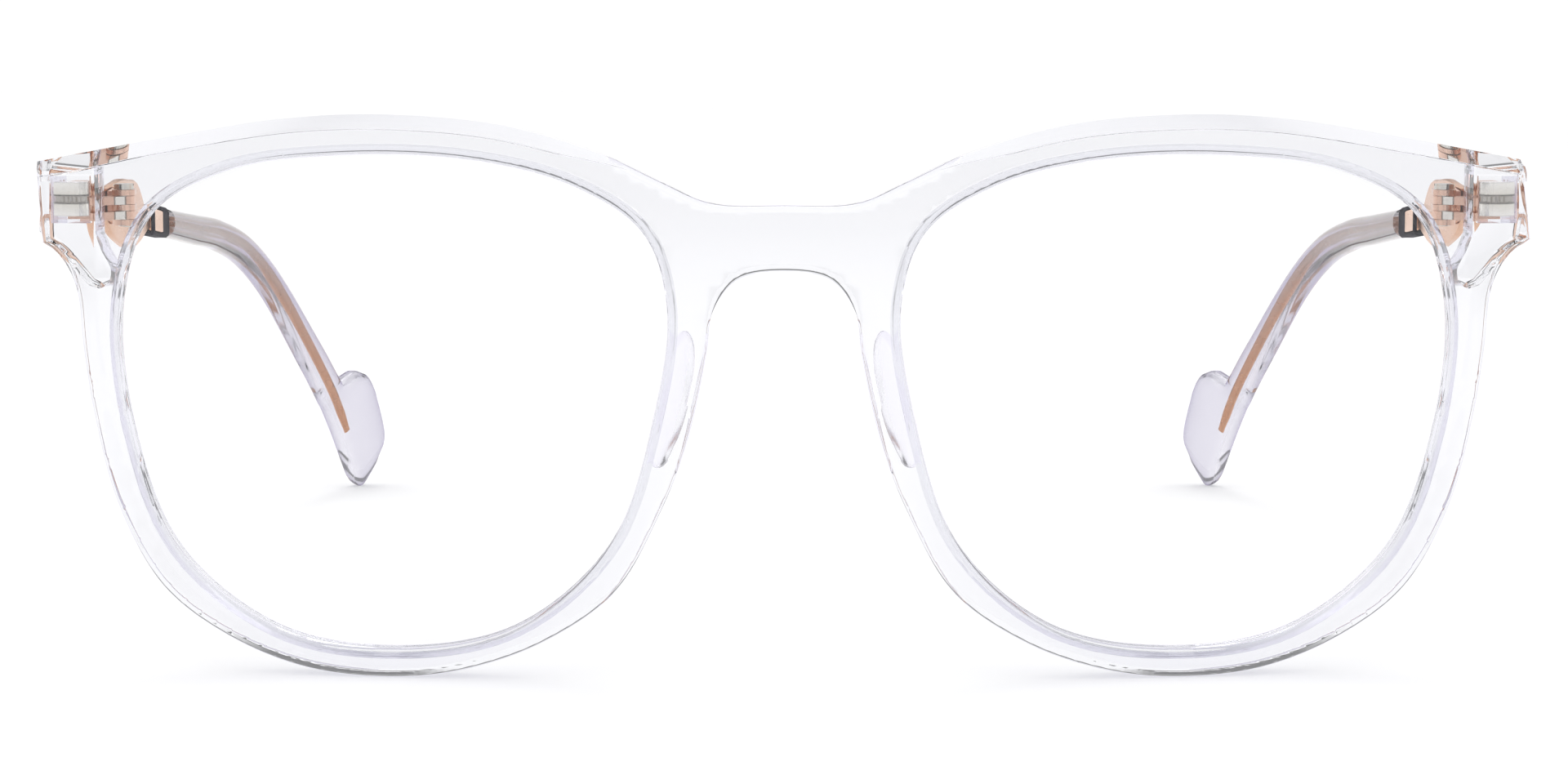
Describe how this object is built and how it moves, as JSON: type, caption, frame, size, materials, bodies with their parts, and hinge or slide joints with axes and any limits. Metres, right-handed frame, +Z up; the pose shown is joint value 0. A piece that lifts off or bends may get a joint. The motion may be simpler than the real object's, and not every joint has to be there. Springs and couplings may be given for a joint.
{
  "type": "blue light glasses",
  "caption": "Clear keyhole-bridge glasses with curved front, moulded nose pads, rose-gold metal temples on barrel hinges and clear paddle tips.",
  "frame": {"origin": "on the floor under the middle of the glasses, which stand on the lower rims and the two temple tips", "axes": "+X towards the wearer's left, +Y back from the front to the ear tips, +Z up"},
  "size_m": [0.1466, 0.1472, 0.0545],
  "materials": {
    "clear_plastic": "polished clear acetate with a faint violet cast",
    "lens": "polished clear lens with a faint blue-violet coating reflection",
    "rose_gold": "smooth satin rose-gold plate",
    "silver": "bright machined",
    "black_enamel": "gloss black enamel"
  },
  "bodies": {
    "front": {"front_frame": "clear_plastic", "left_lens": "lens", "left_nose_pad": "clear_plastic", "left_hinge_anchor": "silver", "left_front_hinge": "silver", "left_hinge_screw": "silver", "right_lens": "lens", "right_nose_pad": "clear_plastic", "right_hinge_anchor": "silver", "right_front_hinge": "silver", "right_hinge_screw": "silver"},
    "left_temple": {"left_temple_hinge": "rose_gold", "left_temple_arm": "rose_gold", "left_ferrule": "black_enamel", "left_core_wire": "rose_gold", "left_temple_tip": "clear_plastic"},
    "right_temple": {"right_temple_hinge": "rose_gold", "right_temple_arm": "rose_gold", "right_ferrule": "black_enamel", "right_core_wire": "rose_gold", "right_temple_tip": "clear_plastic"}
  },
  "joints": [
    {"name": "right_temple_fold", "type": "hinge", "parent": "front", "child": "right_temple", "pos_m": [-0.066, -0.05384, 0.0449], "axis": [0, 0, -1], "range_deg": [0, 88]},
    {"name": "left_temple_fold", "type": "hinge", "parent": "front", "child": "left_temple", "pos_m": [0.066, -0.05384, 0.0449], "axis": [0, 0, 1], "range_deg": [0, 84]}
  ]
}
